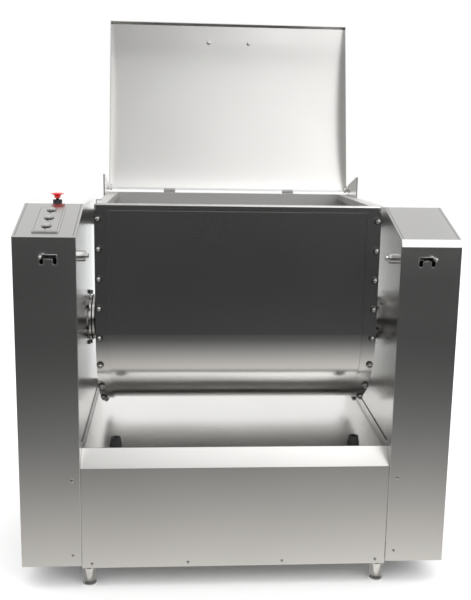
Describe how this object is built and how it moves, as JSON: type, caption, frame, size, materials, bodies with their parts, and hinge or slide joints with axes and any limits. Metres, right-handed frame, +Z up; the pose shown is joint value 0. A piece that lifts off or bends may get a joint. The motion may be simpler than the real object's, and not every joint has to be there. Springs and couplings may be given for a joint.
{
  "type": "dough mixer",
  "caption": "Horizontal dough mixer: a tilting U-shaped stainless trough with an arched hinged lid and a twisted-bar agitator, hung between two columns over a sloped deck on a base frame.",
  "frame": {"origin": "on the floor, under the middle of the machine's overall box", "axes": "+Z up, +X to the right and +Y to the back, as the operator faces the trough"},
  "size_m": [1.3, 0.8604, 1.7702],
  "materials": {
    "sheet_steel": "bright, lightly brushed stainless sheet",
    "bright_steel": "polished stainless",
    "dough_steel": "ground smooth stainless",
    "black_rubber": "matt black rubber",
    "frame_paint": "grey primer on mild steel",
    "machine_iron": "painted iron",
    "motor_paint": "semi-gloss blue-grey paint",
    "bearing_bronze": "plain machined",
    "seal_plastic": "food-grade white plastic",
    "pale_plastic": "pale grey gloss",
    "black_plastic": "black satin",
    "red_plastic": "red gloss"
  },
  "bodies": {
    "root": {"base_frame": "frame_paint", "levelling_feet": "bright_steel", "base_apron": "sheet_steel", "base_deck": "sheet_steel", "base_rear_panel": "sheet_steel", "front_buffers": "black_rubber", "rear_crossbeam": "sheet_steel", "rear_buffers": "black_rubber", "left_column_shell": "sheet_steel", "right_column_shell": "sheet_steel", "left_side_cover": "sheet_steel", "right_side_cover": "sheet_steel", "left_column_frame": "frame_paint", "right_column_frame": "frame_paint", "bearing_plates": "frame_paint", "trunnion_bearings": "machine_iron", "trunnion_seals": "black_rubber", "lock_barrels": "bright_steel", "control_plate": "sheet_steel", "button_bezels": "bright_steel", "switch_blocks": "black_plastic", "stop_collar": "black_plastic", "reducer": "machine_iron", "drive_belt": "black_rubber", "drive_motor": "motor_paint", "motor_plate": "frame_paint", "cable_gland": "black_plastic", "panel_screws": "bright_steel"},
    "tank": {"trough_shell": "sheet_steel", "trough_rim": "sheet_steel", "end_plates": "sheet_steel", "end_bands": "sheet_steel", "band_nuts": "bright_steel", "left_trunnion_hub": "bright_steel", "right_trunnion_hub": "bright_steel", "hub_bolts": "bright_steel", "main_bearings": "bearing_bronze", "shaft_seals": "seal_plastic", "lid_ears": "sheet_steel", "lid_hinge_pins": "bright_steel", "lid_stops": "sheet_steel", "lid_locator": "sheet_steel"},
    "lid": {"lid_shell": "sheet_steel", "lid_handle": "bright_steel", "lid_handle_screws": "bright_steel", "lid_switch_tab": "sheet_steel"},
    "left_lock_rod": {"left_lock_rod": "bright_steel"},
    "right_lock_rod": {"right_lock_rod": "bright_steel"},
    "left_lock_lever": {"left_lock_lever": "bright_steel"},
    "right_lock_lever": {"right_lock_lever": "bright_steel"},
    "agitator": {"agitator_shaft": "dough_steel", "agitator_cage": "dough_steel"},
    "reducer_input": {"reducer_pulley": "machine_iron"},
    "motor_rotor": {"motor_pulley": "machine_iron"},
    "button_1": {"push_button_1": "pale_plastic"},
    "button_2": {"push_button_2": "pale_plastic"},
    "button_3": {"push_button_3": "pale_plastic"},
    "stop_plunger": {"stop_stem": "black_plastic"},
    "stop_mushroom": {"stop_head": "red_plastic"}
  },
  "joints": [
    {"name": "tank_tilt", "type": "hinge", "parent": "root", "child": "tank", "pos_m": [0, -0.0495, 0.78], "axis": [1, 0, 0], "range_deg": [0, 100]},
    {"name": "lid_hinge", "type": "hinge", "parent": "tank", "child": "lid", "pos_m": [0, 0.2265, 1.1895], "axis": [1, 0, 0], "range_deg": [0, 103.4]},
    {"name": "right_lock_slide", "type": "slide", "parent": "root", "child": "right_lock_rod", "axis": [-1, 0, 0], "range_m": [0, 0.037]},
    {"name": "right_lever_turn", "type": "hinge", "parent": "right_lock_rod", "child": "right_lock_lever", "pos_m": [0.5, -0.3245, 1.021], "axis": [1, 0, 0], "range_deg": [0, 12.3]},
    {"name": "left_lock_slide", "type": "slide", "parent": "root", "child": "left_lock_rod", "axis": [1, 0, 0], "range_m": [0, 0.037]},
    {"name": "left_lever_turn", "type": "hinge", "parent": "left_lock_rod", "child": "left_lock_lever", "pos_m": [-0.5, -0.3245, 1.021], "axis": [1, 0, 0], "range_deg": [0, 12.3]},
    {"name": "agitator_spin", "type": "hinge", "parent": "root", "child": "agitator", "pos_m": [0, -0.0495, 0.78], "axis": [1, 0, 0], "continuous": true},
    {"name": "reducer_input_spin", "type": "hinge", "parent": "root", "child": "reducer_input", "pos_m": [-0.62, -0.0495, 0.615], "axis": [1, 0, 0], "continuous": true},
    {"name": "motor_spin", "type": "hinge", "parent": "root", "child": "motor_rotor", "pos_m": [-0.62, -0.0495, 0.235], "axis": [1, 0, 0], "continuous": true},
    {"name": "button_1_press", "type": "slide", "parent": "root", "child": "button_1", "axis": [0, 0.3137, -0.9495], "range_m": [0, 0.0025], "stiffness_N_per_m": 300},
    {"name": "button_2_press", "type": "slide", "parent": "root", "child": "button_2", "axis": [0, 0.3137, -0.9495], "range_m": [0, 0.0025], "stiffness_N_per_m": 300},
    {"name": "button_3_press", "type": "slide", "parent": "root", "child": "button_3", "axis": [0, 0.3137, -0.9495], "range_m": [0, 0.0025], "stiffness_N_per_m": 300},
    {"name": "stop_press", "type": "slide", "parent": "root", "child": "stop_plunger", "axis": [0, 0, -1], "range_m": [0, 0.004], "stiffness_N_per_m": 600},
    {"name": "stop_twist", "type": "hinge", "parent": "stop_plunger", "child": "stop_mushroom", "pos_m": [-0.553, -0.1495, 1.161], "axis": [0, 0, 1], "range_deg": [0, 30]}
  ],
  "couplings": [
    {"joint": "reducer_input_spin", "follows": "agitator_spin", "ratio": 20},
    {"joint": "motor_spin", "follows": "agitator_spin", "ratio": 36}
  ]
}
